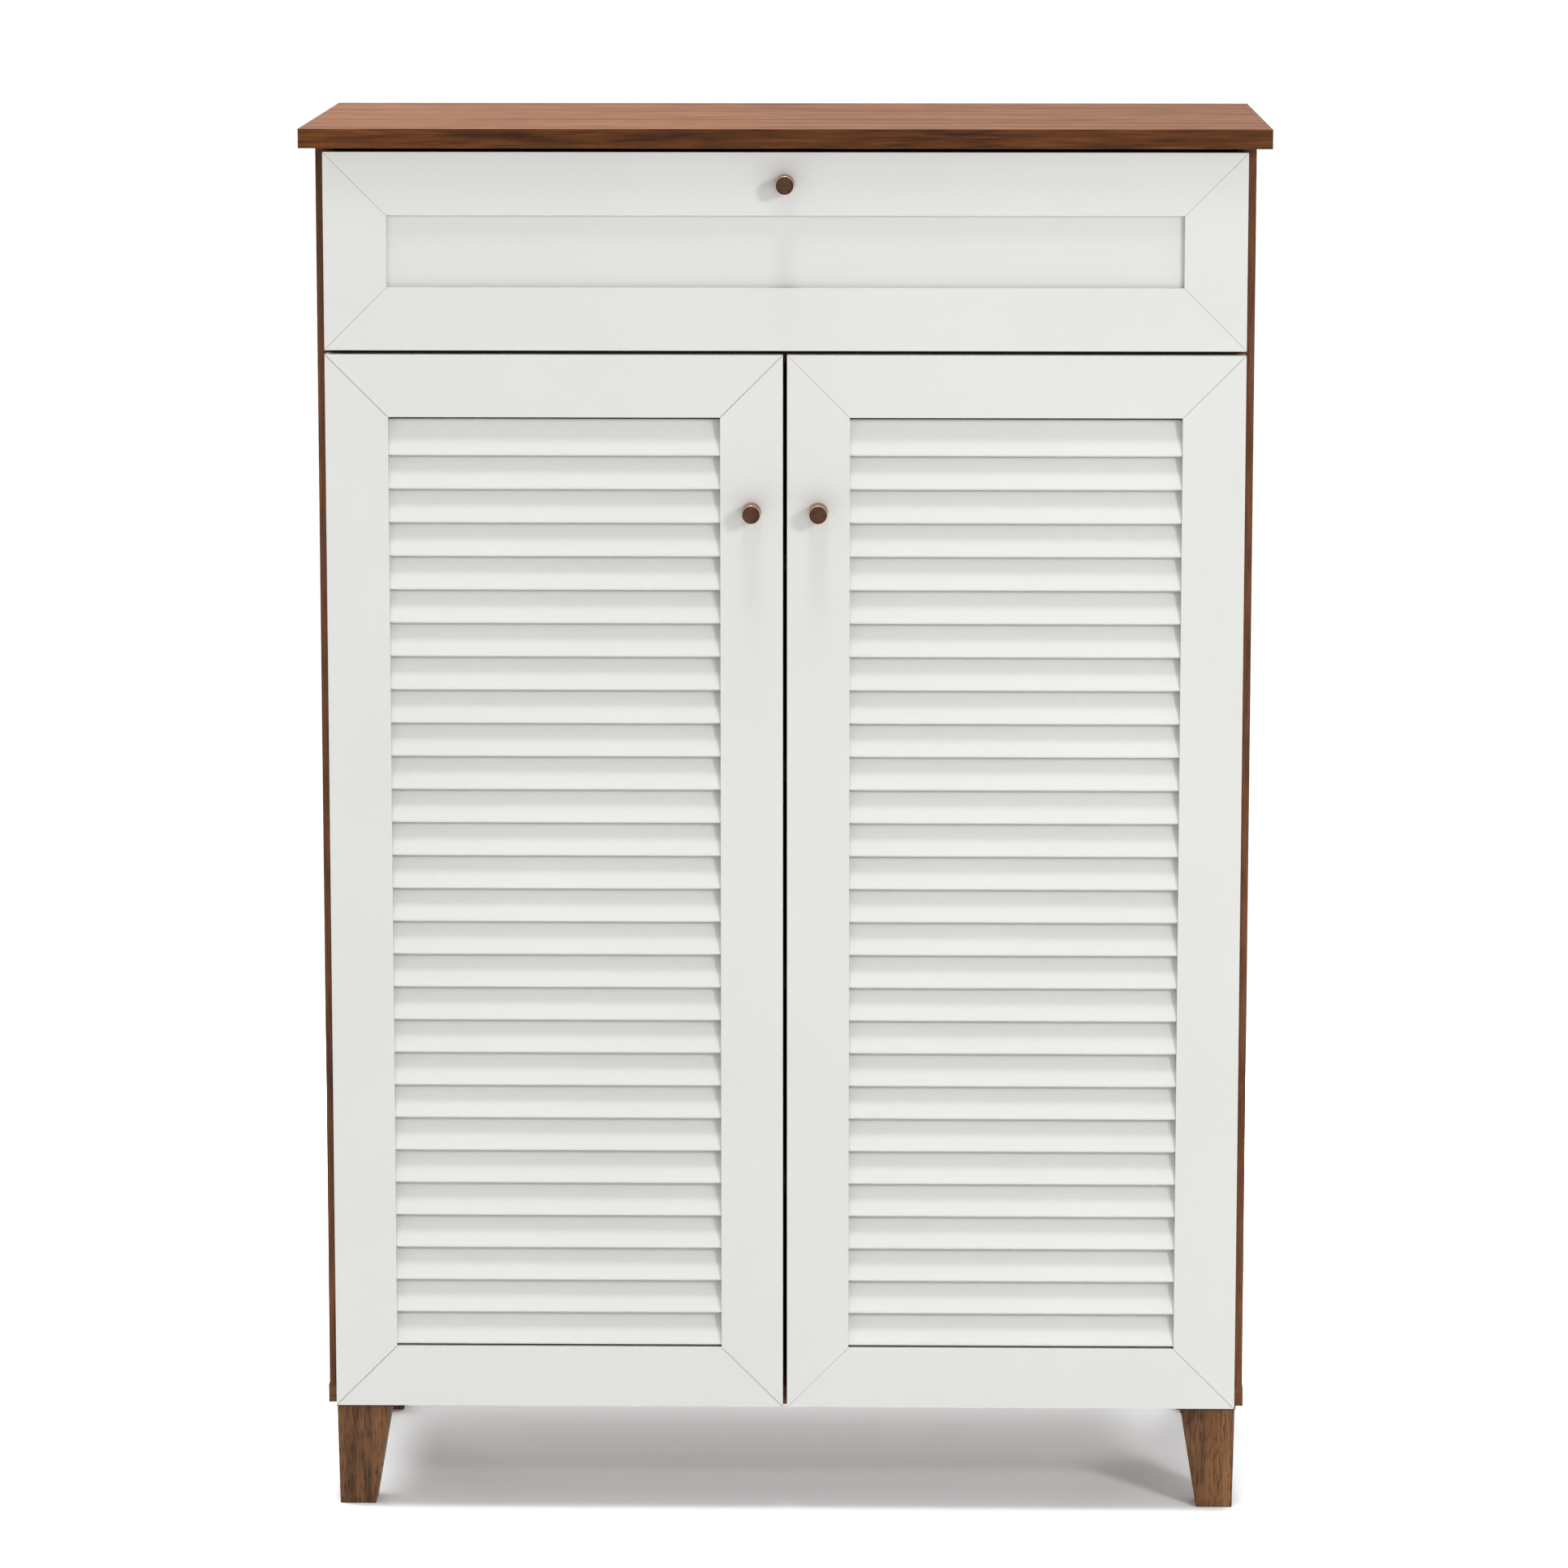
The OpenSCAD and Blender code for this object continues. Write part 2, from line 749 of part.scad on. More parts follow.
// Arm on the mounting plate, forked round the link at its nose
module hinge_arm() {
    a = HINGE_ARM_PIVOT;
    seat = hinge_seat_x;
    difference() {
        translate([0, 0, -arm_w / 2]) linear_extrude(arm_w) union() {
            polygon([[seat, 64], [seat + 8, 64], [seat + 9, 61], [seat + 9, 26], [a[0] + 2.6, 8],
                [a[0] + 2.6, a[1]], [a[0] - 2.6, a[1]], [a[0] - 4.5, 5], [seat, 20]]);
            translate(a) circle(2.6);
        }
        translate([a[0] - 6, a[1] - 4, -arm_slot_w / 2]) cube([10, 7.4, arm_slot_w]);
    }
    hinge_pin(a, arm_w);
}

// Cross-shaped plate on the side panel
module hinge_plate() {
    wing_w = 12;
    wing_h = 52;
    difference() {
        union() {
            translate([hinge_panel_x, plate_y - 15, -arm_w / 2])
                cube([hinge_seat_x - hinge_panel_x, 36, arm_w]);
            translate([hinge_panel_x, plate_y - wing_w / 2, -wing_h / 2])
                cube([hinge_foot_t, wing_w, wing_h]);
        }
        for (s = SIDES) translate([hinge_panel_x - 1, plate_y, s * hole_pitch / 2]) rotate([0, 90, 0])
            cylinder(r = euro_r, h = hinge_foot_t + 2);
    }
}

module hinge_plates() {
    color("#b9b9bd") for (side = SIDES, z = hinge_zs) at_hinge(side, z) hinge_plate();
}

module hinge_arms() {
    color("#c4c4c8") for (side = SIDES, z = hinge_zs) at_hinge(side, z) hinge_arm();
}

module hinge_cups(side) {
    color("#c4c4c8") for (z = hinge_zs) at_hinge(side, z) hinge_cup();
}

module hinge_links(side) {
    color("#c4c4c8") for (z = hinge_zs) at_hinge(side, z) hinge_link();
}

module left_hinge_cups() { hinge_cups(-1); }
module right_hinge_cups() { hinge_cups(1); }
module left_hinge_links() { hinge_links(-1); }
module right_hinge_links() { hinge_links(1); }

module cabinet_screws() { color("#8c8c90") euro_shapes(); }

top_board();
left_side_panel();
right_side_panel();
bottom_board();
divider_board();
back_panel();
shelf_1();
shelf_2();
shelf_3();
shelf_4();
shelf_pins();
cam_locks();
cam_bolts();
wood_dowels();
bottom_screws();
door_bumpers();
front_left_leg();
front_right_leg();
back_left_leg();
back_right_leg();
leg_plates();
leg_bolts();
leg_plate_screws();
left_cabinet_slide();
right_cabinet_slide();
hinge_plates();
hinge_arms();
cabinet_screws();
drawer_front_rails();
drawer_front_stiles();
drawer_front_panel();
drawer_inner_front();
drawer_sides();
drawer_back();
drawer_base();
left_drawer_slide();
right_drawer_slide();
drawer_screws();
drawer_knob();
drawer_knob_screw();
left_cabinet_roller();
right_cabinet_roller();
left_drawer_roller();
right_drawer_roller();
left_door_hinge_stile();
left_door_lock_stile();
left_door_rails();
left_door_slats();
left_door_knob();
left_door_knob_screw();
left_hinge_cups();
left_hinge_links();
right_door_hinge_stile();
right_door_lock_stile();
right_door_rails();
right_door_slats();
right_door_knob();
right_door_knob_screw();
right_hinge_cups();
right_hinge_links();
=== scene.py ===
"""Shoe cabinet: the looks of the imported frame. Metres, in the frame's own axes: +Z up, fronts facing -Y."""

import math

import bmesh
import bpy
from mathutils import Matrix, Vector

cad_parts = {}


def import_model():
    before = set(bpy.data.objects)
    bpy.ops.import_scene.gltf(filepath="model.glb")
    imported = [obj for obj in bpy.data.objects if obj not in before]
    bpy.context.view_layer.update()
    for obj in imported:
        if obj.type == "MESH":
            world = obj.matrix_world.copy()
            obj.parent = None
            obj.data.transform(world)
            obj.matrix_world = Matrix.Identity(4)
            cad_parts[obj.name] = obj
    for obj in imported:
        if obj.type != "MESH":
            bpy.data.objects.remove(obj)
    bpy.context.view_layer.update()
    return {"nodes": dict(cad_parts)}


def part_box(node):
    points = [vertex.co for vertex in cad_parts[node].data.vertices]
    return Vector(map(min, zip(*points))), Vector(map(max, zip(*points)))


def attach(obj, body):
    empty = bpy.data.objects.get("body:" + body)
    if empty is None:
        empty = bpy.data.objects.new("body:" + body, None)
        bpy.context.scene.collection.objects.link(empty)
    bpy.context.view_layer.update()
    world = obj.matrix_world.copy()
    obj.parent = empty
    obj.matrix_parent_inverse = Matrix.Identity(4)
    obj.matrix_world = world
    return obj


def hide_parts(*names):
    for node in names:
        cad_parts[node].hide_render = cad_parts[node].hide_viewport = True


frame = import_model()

NODES = frame["nodes"]
MM = 0.001


# ---- Helpers ----

def add_object(name, data):
    """A new object in the scene, from a mesh, light or camera."""
    piece = bpy.data.objects.new(name, data)
    bpy.context.scene.collection.objects.link(piece)
    return piece


def add_mesh(name, mesh, materials):
    """A new object from a finished bmesh, which is freed."""
    data = bpy.data.meshes.new(name)
    mesh.to_mesh(data)
    mesh.free()
    for material in materials:
        data.materials.append(material)
    return add_object(name, data)


class Graph:
    """A material's node tree, with short calls to add and join nodes."""

    def __init__(self, name):
        self.material = bpy.data.materials.new(name)
        self.material.use_nodes = True
        self.tree = self.material.node_tree
        self.tree.nodes.clear()
        self.shader = self.tree.nodes.new("ShaderNodeBsdfPrincipled")
        output = self.tree.nodes.new("ShaderNodeOutputMaterial")
        self.join(self.shader.outputs["BSDF"], output.inputs["Surface"])
        self.place = self.tree.nodes.new("ShaderNodeTexCoord").outputs["Object"]

    def join(self, source, target):
        self.tree.links.new(source, target)

    def put(self, value, socket):
        """Sets a socket to a number or a colour, or joins it to another node's output."""
        if isinstance(value, bpy.types.NodeSocket):
            self.join(value, socket)
        else:
            socket.default_value = value

    def stretched(self, scale, shift=(0, 0, 0)):
        """The object's own coordinates, scaled to repeats per metre."""
        node = self.tree.nodes.new("ShaderNodeMapping")
        self.join(self.place, node.inputs["Vector"])
        node.inputs["Location"].default_value = shift
        node.inputs["Scale"].default_value = scale
        return node.outputs["Vector"]

    def noise(self, vector, detail=3.0, rough=0.5, distortion=0.0):
        node = self.tree.nodes.new("ShaderNodeTexNoise")
        self.join(vector, node.inputs["Vector"])
        node.inputs["Scale"].default_value = 1.0
        node.inputs["Detail"].default_value = detail
        node.inputs["Roughness"].default_value = rough
        node.inputs["Distortion"].default_value = distortion
        return node.outputs["Fac"]

    def math(self, operation, a, b):
        node = self.tree.nodes.new("ShaderNodeMath")
        node.operation = operation
        self.put(a, node.inputs[0])
        self.put(b, node.inputs[1])
        return node.outputs[0]

    def span(self, value, low, high, to_low=0.0, to_high=1.0):
        """Rescales a value from low..high to to_low..to_high, and keeps it in there."""
        node = self.tree.nodes.new("ShaderNodeMapRange")
        self.join(value, node.inputs["Value"])
        node.inputs["From Min"].default_value = low
        node.inputs["From Max"].default_value = high
        node.inputs["To Min"].default_value = to_low
        node.inputs["To Max"].default_value = to_high
        return node.outputs["Result"]

    def ramp(self, value, stops):
        node = self.tree.nodes.new("ShaderNodeValToRGB")
        self.join(value, node.inputs["Fac"])
        points = node.color_ramp.elements
        while len(points) < len(stops):
            points.new(0.5)
        for point, (position, colour) in zip(points, stops):
            point.position = position
            point.color = (*colour, 1)
        return node.outputs["Color"]

    def mix(self, factor, a, b, blend="MIX"):
        node = self.tree.nodes.new("ShaderNodeMix")
        node.data_type = "RGBA"
        node.blend_type = blend
        self.put(factor, node.inputs["Factor"])
        self.put(a, node.inputs["A"])
        self.put(b, node.inputs["B"])
        return node.outputs["Result"]

    def upward(self):
        """How far the surface faces up, from its normal in the object's own axes."""
        place = self.tree.nodes.new("ShaderNodeTexCoord")
        split = self.tree.nodes.new("ShaderNodeSeparateXYZ")
        self.join(place.outputs["Normal"], split.inputs["Vector"])
        return split.outputs["Z"]

    def bump(self, height, strength, distance):
        node = self.tree.nodes.new("ShaderNodeBump")
        node.inputs["Strength"].default_value = strength
        node.inputs["Distance"].default_value = distance
        self.join(height, node.inputs["Height"])
        self.join(node.outputs["Normal"], self.shader.inputs["Normal"])


# ---- Materials ----

ACROSS = {"x": (0, 1, 1), "y": (1, 0, 1), "z": (1, 1, 0)}


def grain_scale(axis, along, across):
    """Texture scale per axis, in repeats per metre: along the grain and across it."""
    return tuple(across if a else along for a in ACROSS[axis])


def tones(colour, contrast=1.0):
    """Four ramp stops round a mean colour, dark to light."""
    levels = [(0.30, 0.50), (0.44, 0.84), (0.55, 1.10), (0.70, 1.50)]
    return [(place, tuple(c * (1 + contrast * (level - 1)) for c in colour)) for place, level in levels]


# Walnut's figure: repeats per metre along and across the grain, and how much each layer adds to the tone
BAND_SCALE, BAND_SHARE = (0.9, 42), 0.42
MOTTLE_SCALE, MOTTLE_SHARE = (26, 150), 0.22
FIBRE_SCALE, FIBRE_SHARE = (22, 480), 0.46
STREAK_SCALE, STREAK_SHARE = (9, 150), 0.44
TONE_OFFSET = 0.27       # brings the sum of the four layers back to the middle of the ramp
PORE_SPAN = (0.54, 0.66)
PORE_TINT = (0.30, 0.28, 0.26, 1)
WALNUT_SPECULAR = 0.14
UPWARD_SPAN = (0.6, 0.9)


def walnut(name, axis, stops, shift=(0, 0, 0), rough=0.42, pore_length=16.0, pore_pitch=0.77,
           pore_depth=0.55, lit_top_stops=None):
    """Walnut with bands, fibres and open pores along one axis; pore sizes are in millimetres.

    The stops given for faces that look up colour them lighter. This is partly painted light, standing in for
    the overhead light and sheen those faces catch, and partly the veneer's own lighter tone."""
    g = Graph(name)
    bands = g.noise(g.stretched(grain_scale(axis, *BAND_SCALE), shift), detail=4.0, distortion=0.6)
    fibres = g.noise(g.stretched(grain_scale(axis, *FIBRE_SCALE), shift), detail=4.0, rough=0.65)
    streaks = g.noise(g.stretched(grain_scale(axis, *STREAK_SCALE), shift), detail=3.0, rough=0.60)
    mottle = g.noise(g.stretched(grain_scale(axis, *MOTTLE_SCALE), shift), detail=2.0)
    pore_scale = grain_scale(axis, 1 / (pore_length * MM), 1 / (pore_pitch * MM))
    pores = g.span(g.noise(g.stretched(pore_scale, shift), detail=1.5), *PORE_SPAN)
    tone = g.math("MULTIPLY", bands, BAND_SHARE)
    tone = g.math("ADD", tone, g.math("MULTIPLY", mottle, MOTTLE_SHARE))
    tone = g.math("ADD", tone, g.math("MULTIPLY", fibres, FIBRE_SHARE))
    tone = g.math("ADD", tone, g.math("MULTIPLY", streaks, STREAK_SHARE))
    tone = g.math("SUBTRACT", tone, TONE_OFFSET)
    colour = g.ramp(tone, stops)
    # Painted light in part: faces that look up get the lighter stops, standing in for overhead light and
    # sheen, with the rest of the difference the veneer's own tone.
    if lit_top_stops:
        upward = g.span(g.upward(), *UPWARD_SPAN)
        colour = g.mix(upward, colour, g.ramp(tone, lit_top_stops))
    dark = g.mix(1.0, colour, PORE_TINT, blend="MULTIPLY")
    colour = g.mix(g.math("MULTIPLY", pores, pore_depth), colour, dark)
    g.join(colour, g.shader.inputs["Base Color"])
    g.join(g.span(fibres, 0.3, 0.7, rough - 0.05, rough + 0.09), g.shader.inputs["Roughness"])
    g.shader.inputs["Specular IOR Level"].default_value = WALNUT_SPECULAR
    g.bump(g.math("SUBTRACT", g.math("MULTIPLY", fibres, 0.5), pores), 0.35, 0.06 * MM)
    return g.material


PAINT_DULL = (0.511, 0.503, 0.484)
PAINT_CLEAN = (0.535, 0.526, 0.506)
# Painted light: the slats' copy of the paint is lighter than the frames' to make up for the shade each slat
# lies in.
SLAT_SHADE_LIFT = 1.065        # lighter, to make up for the shade that each slat lies in


def white_paint(name, lift=1.0):
    """Satin white paint: a faint drift in tone, and the fine orange peel of a sprayed coat. Lift makes it
    lighter, as painted light for parts that lie in shade.
    """
    g = Graph(name)
    cloud = g.noise(g.stretched((3.5, 3.5, 3.5)), detail=2.0)
    peel = g.noise(g.stretched((420, 420, 420)), detail=2.0)
    fine = g.noise(g.stretched((2600, 2600, 2600)), detail=1.0)
    colour = g.ramp(cloud, [(0.3, [lift * c for c in PAINT_DULL]), (0.7, [lift * c for c in PAINT_CLEAN])])
    g.join(colour, g.shader.inputs["Base Color"])
    g.join(g.span(peel, 0.3, 0.7, 0.34, 0.42), g.shader.inputs["Roughness"])
    g.bump(g.math("ADD", peel, g.math("MULTIPLY", fine, 0.2)), 0.25, 0.03 * MM)
    return g.material


def flecked_wood(name, light, dark):
    """Plain wood with a short fleck in it."""
    g = Graph(name)
    fleck = g.noise(g.stretched((900, 900, 900)), detail=4.0, rough=0.7)
    cloud = g.noise(g.stretched((9, 9, 9)), detail=3.0)
    tone = g.math("ADD", g.math("MULTIPLY", fleck, 0.6), g.math("MULTIPLY", cloud, 0.4))
    g.join(g.ramp(tone, [(0.38, dark), (0.62, light)]), g.shader.inputs["Base Color"])
    g.join(g.span(fleck, 0.3, 0.7, 0.5, 0.68), g.shader.inputs["Roughness"])
    g.bump(fleck, 0.3, 0.05 * MM)
    return g.material


def metal(name, light, dark, rough, scale=(60, 60, 2500), metallic=1.0, bump=0.15, specular=0.5):
    """Metal with fine brush marks and a slight patina."""
    g = Graph(name)
    brushed = g.noise(g.stretched(scale), detail=3.0)
    cloud = g.noise(g.stretched((110, 110, 110)), detail=3.0)
    tone = g.math("ADD", g.math("MULTIPLY", brushed, 0.5), g.math("MULTIPLY", cloud, 0.5))
    g.join(g.ramp(tone, [(0.35, dark), (0.65, light)]), g.shader.inputs["Base Color"])
    g.join(g.span(tone, 0.35, 0.65, rough - 0.06, rough + 0.08), g.shader.inputs["Roughness"])
    g.shader.inputs["Metallic"].default_value = metallic
    g.shader.inputs["Specular IOR Level"].default_value = specular
    g.bump(brushed, bump, 0.02 * MM)
    return g.material


def moulded(name, light, dark, rough, peel=700):
    """Powder coat, nylon or rubber, with a pebbled skin."""
    g = Graph(name)
    pebble = g.noise(g.stretched((peel, peel, peel)), detail=2.0)
    cloud = g.noise(g.stretched((40, 40, 40)), detail=2.0)
    g.join(g.ramp(cloud, [(0.35, dark), (0.65, light)]), g.shader.inputs["Base Color"])
    g.join(g.span(pebble, 0.3, 0.7, rough - 0.05, rough + 0.07), g.shader.inputs["Roughness"])
    g.bump(pebble, 0.3, 0.05 * MM)
    return g.material


EDGE_TONES = tones((0.081, 0.026, 0.006), contrast=1.6)
# The top's upward faces: lighter tones, partly painted light for the overhead light and sheen they catch.
LIT_TOP_TONES = tones((0.285, 0.129, 0.066), contrast=1.2)
UPRIGHT_TONES = tones((0.122, 0.046, 0.019))
LEG_TONES = tones((0.142, 0.064, 0.027), contrast=1.3)
INNER_TONES = tones((0.110, 0.055, 0.032))
BACK_TONES = tones((0.100, 0.052, 0.031), contrast=0.8)

TOP_WALNUT = walnut("walnut_top", "x", EDGE_TONES, pore_length=35.0, pore_pitch=0.8, pore_depth=0.42,
                    lit_top_stops=LIT_TOP_TONES)
UPRIGHT_WALNUT = walnut("walnut_upright", "z", UPRIGHT_TONES, shift=(0.7, 0.2, 0.1), pore_length=30.0)
BASE_WALNUT = walnut("walnut_base", "x", UPRIGHT_TONES, shift=(0.1, 0.5, 0.9), pore_length=30.0)
LEG_WALNUT = walnut("walnut_leg", "z", LEG_TONES, shift=(0.3, 0.8, 0.4), pore_length=12.0, pore_pitch=0.85,
                    pore_depth=1.0)
SHELF_WALNUT = walnut("walnut_shelf", "x", INNER_TONES, shift=(0.9, 0.3, 0.2), rough=0.5)
DRAWER_WALNUT = walnut("walnut_drawer", "x", INNER_TONES, shift=(0.2, 0.6, 0.7), rough=0.5)
DRAWER_SIDE_WALNUT = walnut("walnut_drawer_side", "y", INNER_TONES, shift=(0.5, 0.1, 0.3), rough=0.5)
HARDBOARD = walnut("walnut_hardboard", "z", BACK_TONES, shift=(0.4, 0.9, 0.6), rough=0.62)
PAINT = white_paint("white_paint")
# Painted light: a lighter copy of the white paint for the slats, which lie in shade.
SLAT_PAINTED_LIGHT = white_paint("white_slat_paint_lit_for_shade", lift=SLAT_SHADE_LIFT)
KNOB_SIDE = metal("knob_bronze", (0.420, 0.175, 0.095), (0.270, 0.108, 0.058), 0.38, scale=(900, 60, 900))
# Painted highlight: the knob's chamfered rim, coloured near white where the bronze catches the light.
KNOB_RIM_HIGHLIGHT = metal("knob_rim_painted_highlight", (0.96, 0.78, 0.68), (0.86, 0.66, 0.55), 0.32, scale=(900, 900, 900),
                 metallic=0.8)
# Painted reflection: the knob's bronze face, coloured dark and matt to stand in for the dark reflection it
# shows.
KNOB_FACE_DARK_REFLECTION = metal("knob_face_painted_reflection", (0.086, 0.039, 0.023), (0.038, 0.018, 0.011), 0.6, scale=(700, 700, 700),
                  metallic=0.0, bump=0.3, specular=0.1)
PLATE = moulded("black_plate", (0.020, 0.015, 0.013), (0.011, 0.009, 0.008), 0.5)
NICKEL = metal("hinge_nickel", (0.70, 0.68, 0.65), (0.52, 0.50, 0.48), 0.30)
ZINC = metal("zinc_steel", (0.62, 0.63, 0.66), (0.42, 0.43, 0.45), 0.38, scale=(700, 700, 700))
POWDER_COAT = moulded("slide_powder_coat", (0.78, 0.78, 0.76), (0.72, 0.72, 0.70), 0.42)
NYLON = moulded("roller_nylon", (0.82, 0.81, 0.77), (0.74, 0.73, 0.69), 0.40, peel=1800)
BEECH = flecked_wood("dowel_beech", (0.62, 0.44, 0.27), (0.48, 0.32, 0.19))
# Painted shade: a dark material for strips that stand in for the shade in the frames' mitre grooves.
MITRE_PAINTED_SHADE = moulded("mitre_joint_painted_shade", (0.110, 0.105, 0.095), (0.070, 0.066, 0.060), 0.8)
CLEAR_RUBBER = moulded("bumper_rubber", (0.74, 0.74, 0.71), (0.66, 0.66, 0.64), 0.30, peel=1500)


# ---- Carried-over CAD nodes: material and edge rounding in millimetres, 0 for none ----

DOOR_PARTS = [f"{side}_door_{part}" for side in ("left", "right")
              for part in ("hinge_stile", "lock_stile", "rails")]
FINISHES = [
    (TOP_WALNUT, 0.7, ["top_board"]),
    (UPRIGHT_WALNUT, 0.5, ["left_side_panel", "right_side_panel"]),
    (BASE_WALNUT, 0.5, ["bottom_board"]),
    (SHELF_WALNUT, 0.5, ["divider_board", "shelf_1", "shelf_2", "shelf_3", "shelf_4"]),
    (DRAWER_WALNUT, 0.5, ["drawer_inner_front", "drawer_back"]),
    (DRAWER_SIDE_WALNUT, 0.5, ["drawer_sides"]),
    (HARDBOARD, 0.0, ["back_panel", "drawer_base"]),
    (LEG_WALNUT, 1.2, ["front_left_leg", "front_right_leg", "back_left_leg", "back_right_leg"]),
    (PAINT, 0.4, DOOR_PARTS + ["drawer_front_rails", "drawer_front_stiles", "drawer_front_panel"]),
    (SLAT_PAINTED_LIGHT, 1.6, ["left_door_slats", "right_door_slats"]),
    (PLATE, 1.3, ["leg_plates"]),
    (NICKEL, 0.25, ["hinge_plates", "hinge_arms", "left_hinge_cups", "right_hinge_cups", "left_hinge_links",
                    "right_hinge_links"]),
    (POWDER_COAT, 0.2, ["left_cabinet_slide", "right_cabinet_slide", "left_drawer_slide",
                        "right_drawer_slide"]),
    (NYLON, 0.5, ["left_cabinet_roller", "right_cabinet_roller", "left_drawer_roller",
                  "right_drawer_roller"]),
    (ZINC, 0.3, ["shelf_pins", "cam_locks", "cam_bolts", "bottom_screws", "leg_bolts", "leg_plate_screws",
                 "cabinet_screws", "drawer_screws", "drawer_knob_screw", "left_door_knob_screw",
                 "right_door_knob_screw"]),
    (BEECH, 0.0, ["wood_dowels"]),
    (CLEAR_RUBBER, 0.5, ["door_bumpers"]),
]


WELD_GAP = 0.01 * MM
FLAT_ANGLE = math.radians(0.5)
SHARP_ANGLE = math.radians(35)


def round_edges(piece, width):
    """Joins the node's split corners and flat facets, then rounds its sharp edges."""
    weld = piece.modifiers.new("weld", "WELD")
    weld.merge_threshold = WELD_GAP
    flat = piece.modifiers.new("flat_faces", "DECIMATE")
    flat.decimate_type = "DISSOLVE"
    flat.angle_limit = FLAT_ANGLE
    bevel = piece.modifiers.new("rounded_edges", "BEVEL")
    bevel.width = width * MM
    bevel.segments = 3
    bevel.limit_method = "ANGLE"
    bevel.angle_limit = SHARP_ANGLE
    bevel.use_clamp_overlap = True
    normals = piece.modifiers.new("face_normals", "WEIGHTED_NORMAL")
    normals.keep_sharp = True


for material, width, names in FINISHES:
    for name in names:
        node = NODES[name]
        node.data.materials.clear()
        node.data.materials.append(material)
        if width:
            round_edges(node, width)


# ---- Knobs ----

# The turned outline's front edge, in millimetres: how far inside the wall, and how far behind the front
WALL_EDGE = [(0.0, 1.0), (0.1, 0.7)]
RIM_EDGE = [(0.25, 0.2), (0.5, 0.0)]
FACE_EDGE = [(0.6, 0.05), (0.65, 0.2)]
FACE_SINK = 0.25 * MM
BACK_CHAMFER = (0.3 * MM, 0.4 * MM)     # inward, and along the wall
KNOB_SIDES = 96


def knob(name, node, body):
    """A turned knob: bronze wall, a chamfered rim painted near white as a painted highlight, and a face
    painted dark as a painted dark reflection of the bronze, sunk a hair below the rim.
    """
    low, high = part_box(node)
    radius = (high.x - low.x) / 2
    front, back = low.y, high.y
    middle = (low + high) / 2

    def outline(edge):
        return [(radius - inside * MM, front + behind * MM) for inside, behind in edge]

    back_edge = [(0.0, back), (radius - BACK_CHAMFER[0], back), (radius, back - BACK_CHAMFER[1])]
    wall = back_edge + outline(WALL_EDGE)
    rim = outline(RIM_EDGE)
    face = outline(FACE_EDGE) + [(radius / 2, front + FACE_SINK), (0.0, front + FACE_SINK)]
    turns = [2 * math.pi * i / KNOB_SIDES for i in range(KNOB_SIDES)]
    mesh = bmesh.new()
    rings = []
    for r, y in wall + rim + face:
        if r == 0.0:
            rings.append([mesh.verts.new((middle.x, y, middle.z))])
            continue
        rings.append([mesh.verts.new((middle.x + r * math.cos(turn), y, middle.z + r * math.sin(turn)))
                      for turn in turns])
    for k, (a, b) in enumerate(zip(rings, rings[1:])):
        for i in range(KNOB_SIDES):
            j = (i + 1) % KNOB_SIDES
            if len(a) == 1:
                skin = mesh.faces.new((a[0], b[j], b[i]))
            elif len(b) == 1:
                skin = mesh.faces.new((a[i], a[j], b[0]))
            else:
                skin = mesh.faces.new((a[i], a[j], b[j], b[i]))
            skin.smooth = True
            # Wall in bronze, rim as a painted highlight, face as a painted dark reflection.
            skin.material_index = 0 if k < len(wall) else 1 if k < len(wall) + len(rim) else 2
    bmesh.ops.recalc_face_normals(mesh, faces=mesh.faces)
    piece = add_mesh(name, mesh, (KNOB_SIDE, KNOB_RIM_HIGHLIGHT, KNOB_FACE_DARK_REFLECTION))
    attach(piece, body)
    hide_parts(node)


knob("drawer_turned_knob", "drawer_knob", "drawer")
knob("left_turned_knob", "left_door_knob", "left_door")
knob("right_turned_knob", "right_door_knob", "right_door")


# ---- Mitre joint lines: painted shade in the mitre grooves ----

LINE_SINK = 0.04 * MM
LINE_DEPTH = 0.4 * MM
LINE_HALF_WIDTH = 0.22 * MM
LINE_INSET = 0.5 * MM


def mitre_lines(name, node, body):
    """Thin dark strips in the four open mitre joints of a frame, just below the front face: painted shade,
    standing in for the shade in the joints' grooves.
    """
    low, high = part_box(node)
    stile_low, stile_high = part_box("left_door_lock_stile")
    width = stile_high.x - stile_low.x
    mesh = bmesh.new()
    for x, x_way in ((low.x, 1), (high.x, -1)):
        for z, z_way in ((low.z, 1), (high.z, -1)):
            along = Vector((x_way, 0, z_way))
            across = Vector((-z_way, 0, x_way)).normalized() * LINE_HALF_WIDTH
            corner = Vector((x, low.y + LINE_SINK, z))
            start = corner + along * LINE_INSET
            end = corner + along * (width - LINE_INSET)
            verts = bmesh.ops.create_cube(mesh, size=1.0)["verts"]
            places = [point + side * across + Vector((0, back, 0))
                      for point in (start, end) for side in (-1, 1) for back in (0, LINE_DEPTH)]
            for vert, place in zip(verts, places):
                vert.co = place
    bmesh.ops.recalc_face_normals(mesh, faces=mesh.faces)
    piece = add_mesh(name, mesh, (MITRE_PAINTED_SHADE,))
    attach(piece, body)


mitre_lines("drawer_mitre_lines", "drawer_front_rails", "drawer")
mitre_lines("left_door_mitre_lines", "left_door_rails", "left_door")
mitre_lines("right_door_mitre_lines", "right_door_rails", "right_door")


# ---- Floor, light and camera ----

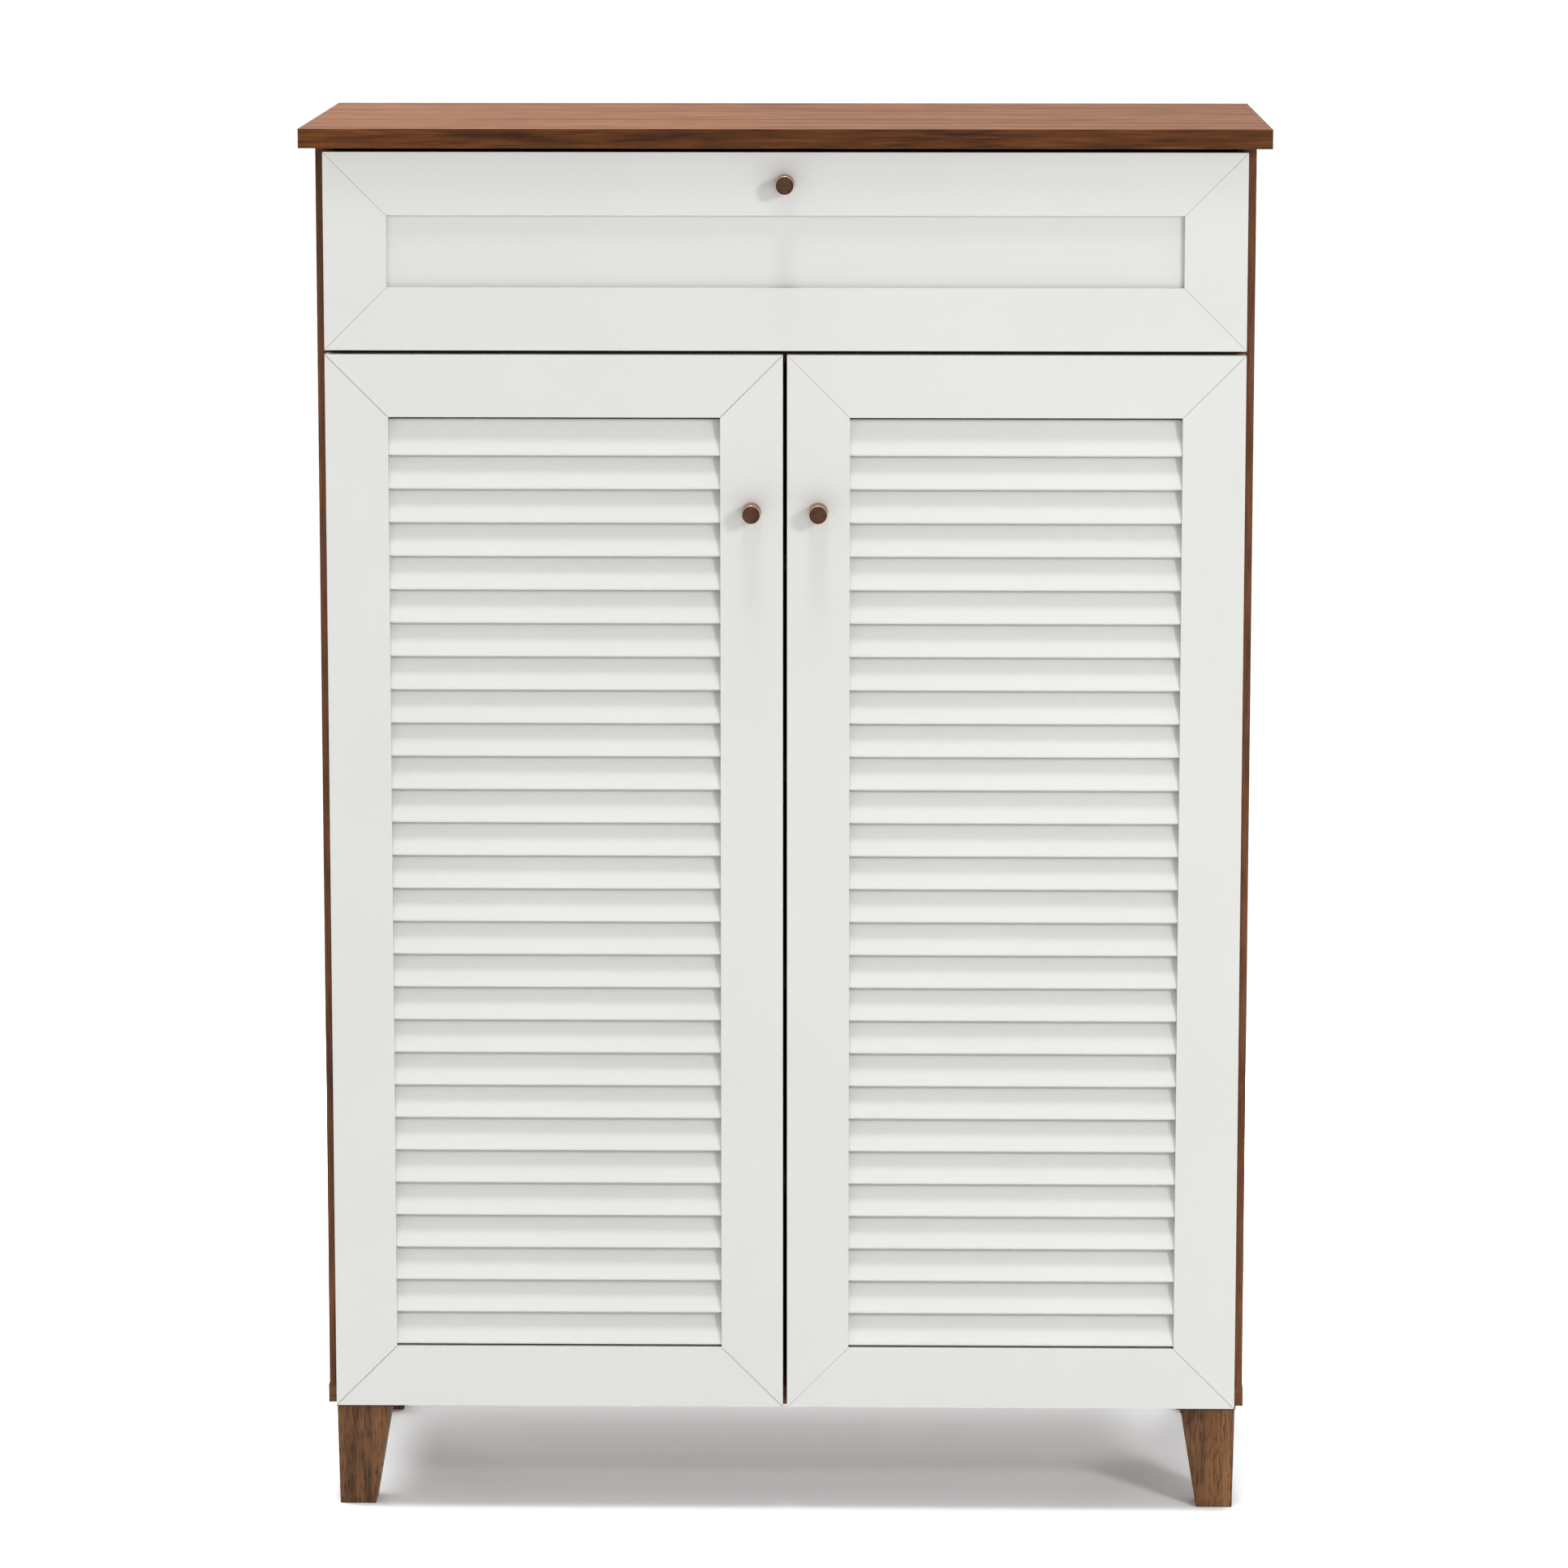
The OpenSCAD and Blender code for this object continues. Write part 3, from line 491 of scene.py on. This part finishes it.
STUDIO_RADIUS = 60.0
WALL_GAP = 1.0
WALL_SIDES = 64
FLOOR_SHADE, FLOOR_LIGHT = (0.91, 0.94, 0.95), (0.93, 0.96, 0.97)
SENSOR_WIDTH = 36.0
LENS = 144.45
CAMERA_REACH = 200.0
CAMERA_OFFSET = Vector((0.091, -5.175, 0.3044))     # from the middle of the top's front edge
CAMERA_DOWN, CAMERA_LEFT = 9.307, 1.014             # degrees
HORIZON_LIGHT, OVERHEAD_LIGHT = 0.15, 0.90
CABINET_MIDDLE = (0, -0.1, 0.65)
TOP_MIDDLE = (0, 0, 1.17)


def floor():
    """A plain pale floor, a little cool to balance the brown light off the walnut."""
    g = Graph("pale_floor")
    cloud = g.noise(g.stretched((0.8, 0.8, 0.8)), detail=2.0)
    colour = g.ramp(cloud, [(0.3, FLOOR_SHADE), (0.7, FLOOR_LIGHT)])
    g.join(colour, g.shader.inputs["Base Color"])
    g.shader.inputs["Roughness"].default_value = 0.9
    g.shader.inputs["Specular IOR Level"].default_value = 0.1
    half = STUDIO_RADIUS
    data = bpy.data.meshes.new("floor")
    corners = [(-half, -half, 0), (half, -half, 0), (half, half, 0), (-half, half, 0)]
    data.from_pydata(corners, [], [(0, 1, 2, 3)])
    data.materials.append(g.material)
    piece = add_object("floor", data)


def backdrop():
    """A white wall round the studio that only the camera sees, so that low views end in white as well."""
    material = bpy.data.materials.new("white_backdrop")
    material.use_nodes = True
    tree = material.node_tree
    tree.nodes.clear()
    glow = tree.nodes.new("ShaderNodeEmission")
    output = tree.nodes.new("ShaderNodeOutputMaterial")
    tree.links.new(glow.outputs["Emission"], output.inputs["Surface"])
    wall = bmesh.new()
    radius = STUDIO_RADIUS - WALL_GAP
    bmesh.ops.create_cone(wall, segments=WALL_SIDES, radius1=radius, radius2=radius, depth=STUDIO_RADIUS)
    piece = add_mesh("backdrop", wall, (material,))
    piece.visible_diffuse = False
    piece.visible_glossy = False
    piece.visible_transmission = False
    piece.visible_shadow = False


def softbox(name, place, target, size, power, glossy=True):
    """A soft rectangular light that the camera doesn't see; glossy=False keeps it out of reflections too."""
    data = bpy.data.lights.new(name, "AREA")
    data.shape = "RECTANGLE"
    data.size, data.size_y = size
    data.energy = power
    light = add_object(name, data)
    light.visible_glossy = glossy
    light.location = place
    light.rotation_euler = (Vector(target) - Vector(place)).to_track_quat("-Z", "Y").to_euler()
    light.visible_camera = False


def sun(name, toward, strength, angle):
    """A distant light, angle degrees wide, which shines along toward."""
    data = bpy.data.lights.new(name, "SUN")
    data.energy = strength
    data.angle = math.radians(angle)
    light = add_object(name, data)
    light.rotation_euler = Vector(toward).to_track_quat("-Z", "Y").to_euler()


def world(horizon, overhead):
    """A white studio, dimmer at the horizon than overhead."""
    scene_world = bpy.data.worlds.new("studio")
    scene_world.use_nodes = True
    tree = scene_world.node_tree
    place = tree.nodes.new("ShaderNodeTexCoord")
    split = tree.nodes.new("ShaderNodeSeparateXYZ")
    height = tree.nodes.new("ShaderNodeMapRange")
    height.inputs["To Min"].default_value = horizon
    height.inputs["To Max"].default_value = overhead
    tree.links.new(place.outputs["Generated"], split.inputs["Vector"])
    tree.links.new(split.outputs["Z"], height.inputs["Value"])
    background = tree.nodes["Background"]
    background.inputs["Color"].default_value = (1.0, 1.0, 1.0, 1)
    tree.links.new(height.outputs["Result"], background.inputs["Strength"])
    bpy.context.scene.world = scene_world


def camera():
    """The studio camera: high, far off and long, turned a degree to the left."""
    data = bpy.data.cameras.new("camera")
    data.sensor_width = SENSOR_WIDTH
    data.lens = LENS
    data.clip_end = CAMERA_REACH
    view = add_object("camera", data)
    top_front = Vector((0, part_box("top_board")[0].y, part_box("top_board")[1].z))
    view.location = top_front + CAMERA_OFFSET
    view.rotation_euler = (math.radians(90 - CAMERA_DOWN), 0, math.radians(CAMERA_LEFT))
    bpy.context.scene.camera = view


floor()
backdrop()
world(HORIZON_LIGHT, OVERHEAD_LIGHT)
sun("overhead", (0, 0.225, -0.974), 1.65, 12)
softbox("key", (2.55, -3.65, 2.2), CABINET_MIDDLE, (0.7, 0.7), 86, glossy=False)
softbox("front", (1.6, -4.4, 0.9), CABINET_MIDDLE, (2.0, 1.0), 16, glossy=False)
softbox("fill_left", (-2.4, -3.4, 2.4), CABINET_MIDDLE, (0.8, 0.8), 9, glossy=False)
softbox("top_left", (-1.6, 0.35, 2.2), TOP_MIDDLE, (0.8, 0.8), 24)
softbox("back_wash", (0.0, 1.7, 0.55), (0, 0.2, 0), (2.2, 0.5), 36)
camera()
bpy.context.scene.view_settings.view_transform = "Standard"

bpy.context.view_layer.update()
